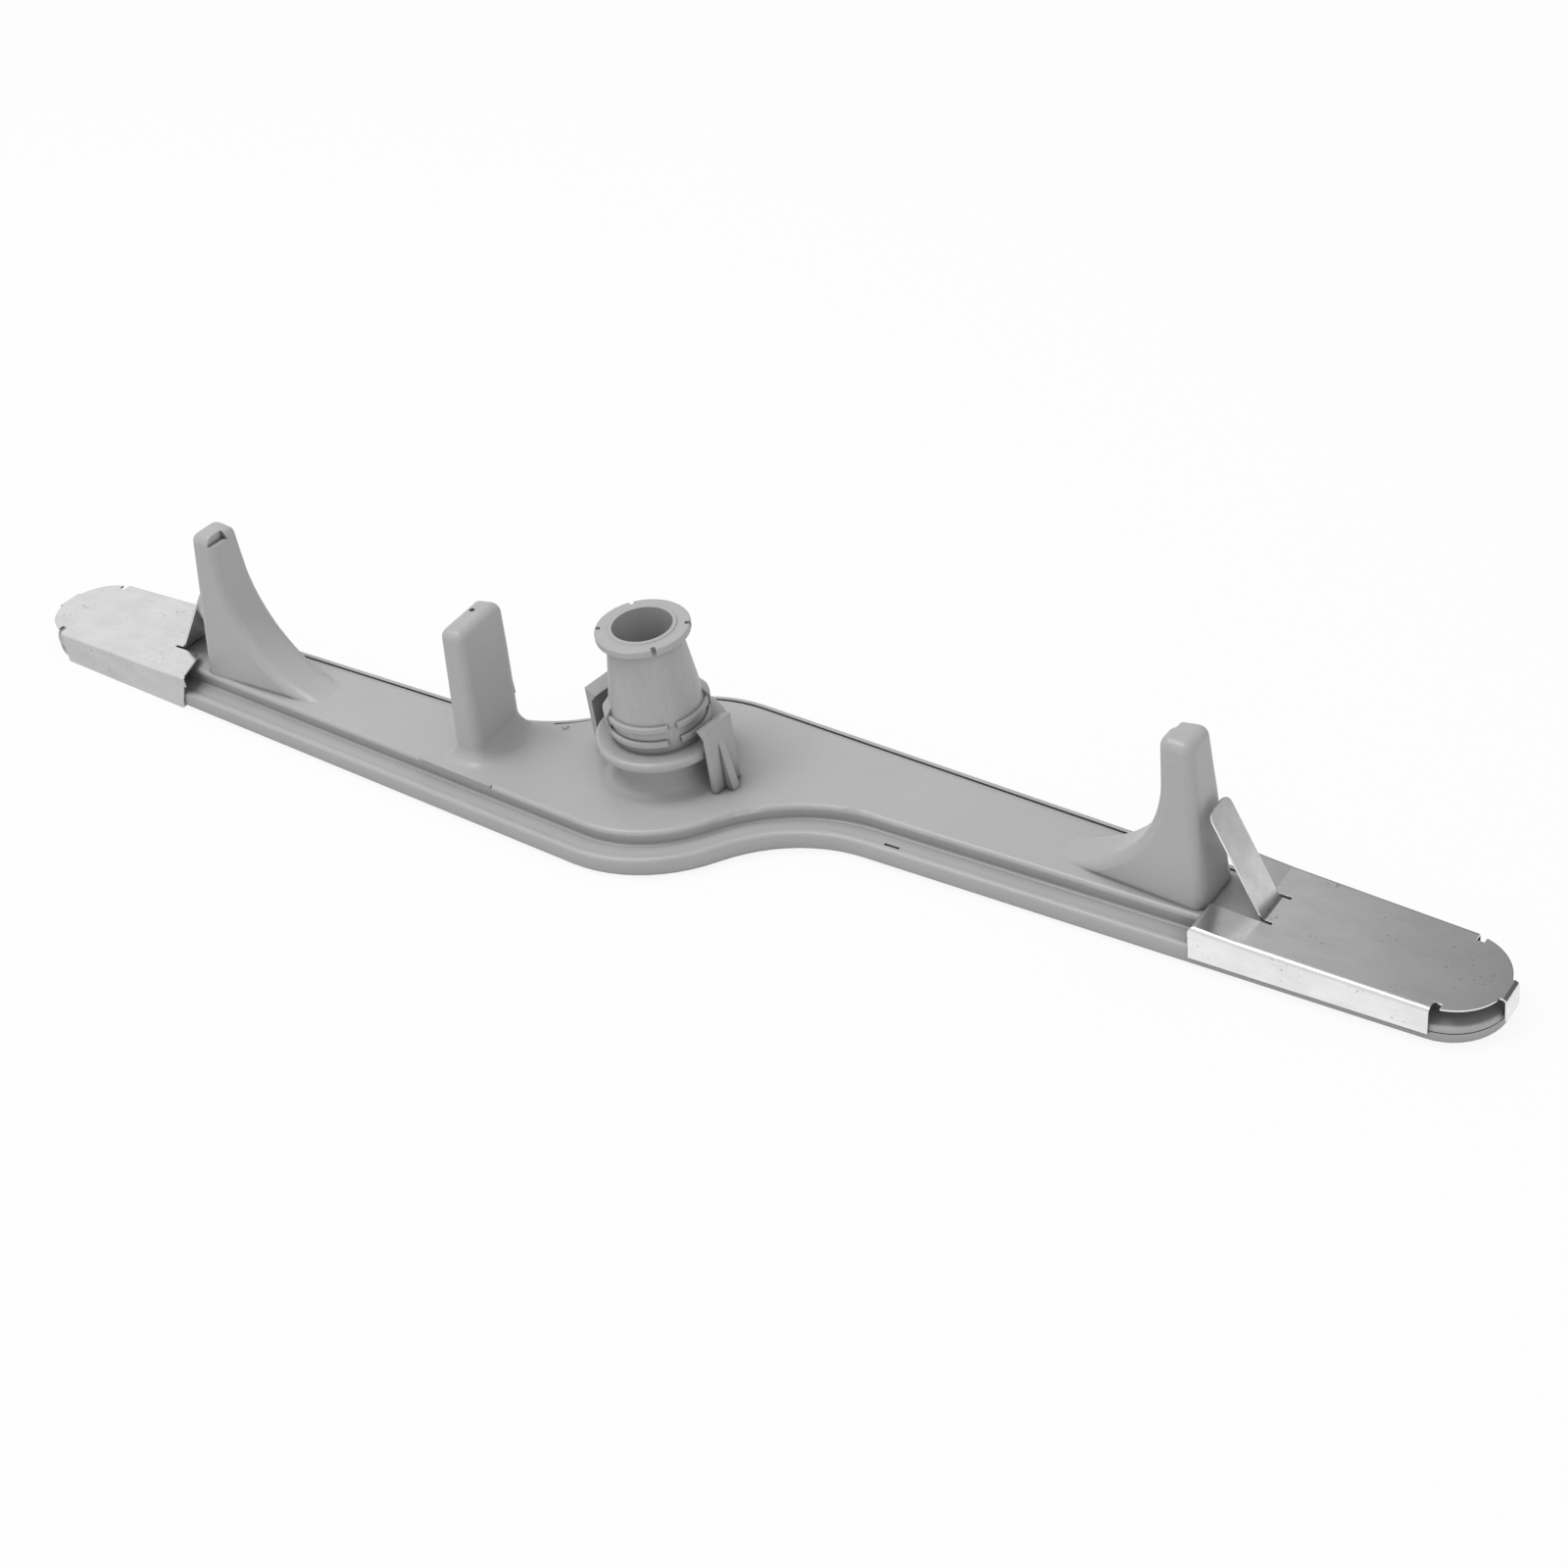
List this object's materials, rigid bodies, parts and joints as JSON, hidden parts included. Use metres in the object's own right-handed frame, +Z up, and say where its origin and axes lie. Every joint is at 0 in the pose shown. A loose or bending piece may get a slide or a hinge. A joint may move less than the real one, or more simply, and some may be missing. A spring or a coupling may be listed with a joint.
{
  "type": "dishwasher spray arm",
  "caption": "Long flat dishwasher spray arm with a bulged hub, a turning tapered inlet spout held by snap hooks, tall hollow nozzle towers and folded steel covers on its ends.",
  "frame": {"origin": "hub axis, at the lowest face, which is the folded lip of the steel covers", "axes": "+Z up along the hub axis toward the mouth of the inlet spout; +X along the arm"},
  "size_m": [0.4608, 0.076, 0.057],
  "materials": {
    "arm_plastic": "satin",
    "spout_plastic": "satin",
    "cover_steel": "fine brushed"
  },
  "bodies": {
    "arm": {"lower_shell": "arm_plastic", "upper_shell": "arm_plastic", "end_cover_right": "cover_steel", "end_cover_left": "cover_steel"},
    "spout": {"inlet_spout": "spout_plastic"}
  },
  "joints": [
    {"name": "spout_turn", "type": "hinge", "parent": "arm", "child": "spout", "pos_m": [0, 0, 0.0195], "axis": [0, 0, 1], "continuous": true}
  ]
}
